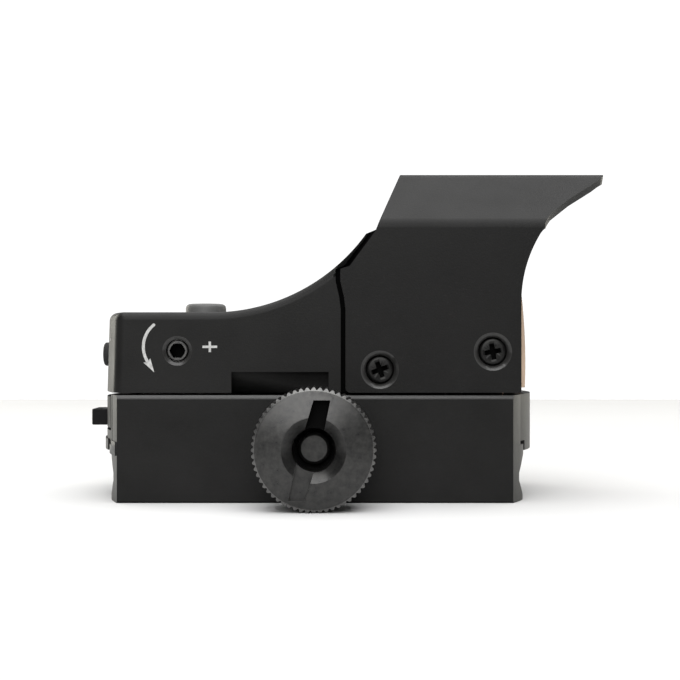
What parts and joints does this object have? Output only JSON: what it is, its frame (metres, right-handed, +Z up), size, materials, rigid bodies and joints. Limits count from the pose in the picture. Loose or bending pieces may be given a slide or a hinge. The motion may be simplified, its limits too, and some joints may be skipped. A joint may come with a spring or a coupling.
{
  "type": "red dot sight",
  "caption": "Compact open reflex sight: a hooded, tilted lens on a low housing, two adjusters, a battery tray and a thumb-screw clamp for a dovetail rail.",
  "frame": {"origin": "middle of the flat seat that rests on top of the rail, halfway along the mount and halfway between the two sides of the rail", "axes": "+X forward along the rail and out through the lens; +Y to the left side, away from the thumb knob; +Z up, from the rail to the hood"},
  "size_m": [0.0671, 0.0396, 0.0418],
  "materials": {
    "black_anodised": "matt black anodised, fine blasted grain",
    "black_paint": "satin black paint with a faint orange peel",
    "black_oxide_steel": "black oxide, satin",
    "steel": "bright, turned or drawn",
    "brass": "machined",
    "black_plastic": "fine moulded texture",
    "black_rubber": "matt moulded rubber",
    "grey_rubber": "matt moulded rubber, dark grey",
    "coated_glass": "clear, with a faint amber red-reflecting coating",
    "circuit_board_green": "green solder mask",
    "red_emitter": "clear red moulded lens"
  },
  "bodies": {
    "mount": {"mount_body": "black_anodised", "clamp_stud": "black_oxide_steel", "base_screw_1": "black_oxide_steel", "base_screw_2": "black_oxide_steel", "base_screw_3": "black_oxide_steel", "housing": "black_paint", "bottom_cover": "black_plastic", "hood": "black_paint", "hood_screw_1": "black_oxide_steel", "hood_screw_2": "black_oxide_steel", "hood_screw_3": "black_oxide_steel", "hood_screw_4": "black_oxide_steel", "lens_front": "coated_glass", "lens_rear": "coated_glass", "lens_seal": "black_rubber", "circuit_board": "circuit_board_green", "power_switch": "steel", "mode_switch": "steel", "contact_negative": "brass", "contact_positive": "brass", "emitter_window": "coated_glass", "jaw_spring_rear": "steel", "jaw_spring_front": "steel", "windage_spring": "steel", "emitter_spring": "steel"},
    "jaw": {"clamp_plate": "black_anodised", "jaw_pin_rear": "steel", "jaw_pin_front": "steel", "knob_washer": "steel"},
    "knob": {"thumb_knob": "black_anodised"},
    "tray": {"battery_tray": "black_plastic", "coin_cell": "steel"},
    "windage_adjuster": {"windage_screw": "black_oxide_steel", "windage_clip": "steel"},
    "windage_stage": {"windage_carriage": "brass"},
    "elevation_adjuster": {"elevation_screw": "black_oxide_steel", "elevation_clip": "steel"},
    "emitter_stage": {"emitter_carriage": "brass", "dot_emitter": "red_emitter", "reticle_mask": "black_oxide_steel"},
    "power": {"power_button": "grey_rubber"},
    "mode": {"mode_button": "black_rubber"}
  },
  "joints": [
    {"name": "clamp_slide", "type": "slide", "parent": "mount", "child": "jaw", "axis": [0, -1, 0], "range_m": [-0.001, 0.0016], "deforming": ["jaw_spring_rear", "jaw_spring_front"]},
    {"name": "knob_turn", "type": "hinge", "parent": "jaw", "child": "knob", "pos_m": [0, -0.0202, 0.0012], "axis": [0, -1, 0], "range_deg": [-454, 726]},
    {"name": "tray_slide", "type": "slide", "parent": "mount", "child": "tray", "axis": [-1, 0, 0], "range_m": [0, 0.02]},
    {"name": "windage_turn", "type": "hinge", "parent": "mount", "child": "windage_adjuster", "pos_m": [-0.01728, -0.0135, 0.01285], "axis": [0, -1, 0], "range_deg": [-541, 541]},
    {"name": "windage_slide", "type": "slide", "parent": "mount", "child": "windage_stage", "axis": [0, 1, 0], "range_m": [-0.0006, 0.0006], "deforming": ["windage_spring"]},
    {"name": "elevation_turn", "type": "hinge", "parent": "mount", "child": "elevation_adjuster", "pos_m": [-0.0216, 0, 0.0174], "axis": [0, 0, 1], "range_deg": [-451, 451]},
    {"name": "elevation_slide", "type": "slide", "parent": "windage_stage", "child": "emitter_stage", "axis": [0, 0, 1], "range_m": [-0.0005, 0.0005], "deforming": ["emitter_spring"]},
    {"name": "power_press", "type": "slide", "parent": "mount", "child": "power", "axis": [0, 0, -1], "range_m": [0, 0.0004], "stiffness_N_per_m": 400},
    {"name": "mode_press", "type": "slide", "parent": "mount", "child": "mode", "axis": [1, 0, 0], "range_m": [0, 0.0004], "stiffness_N_per_m": 400}
  ],
  "couplings": [
    {"joint": "knob_turn", "follows": "clamp_slide", "rad_per_m": 7915.1},
    {"joint": "windage_turn", "follows": "windage_slide", "rad_per_m": 15708},
    {"joint": "elevation_turn", "follows": "elevation_slide", "rad_per_m": -15708}
  ]
}
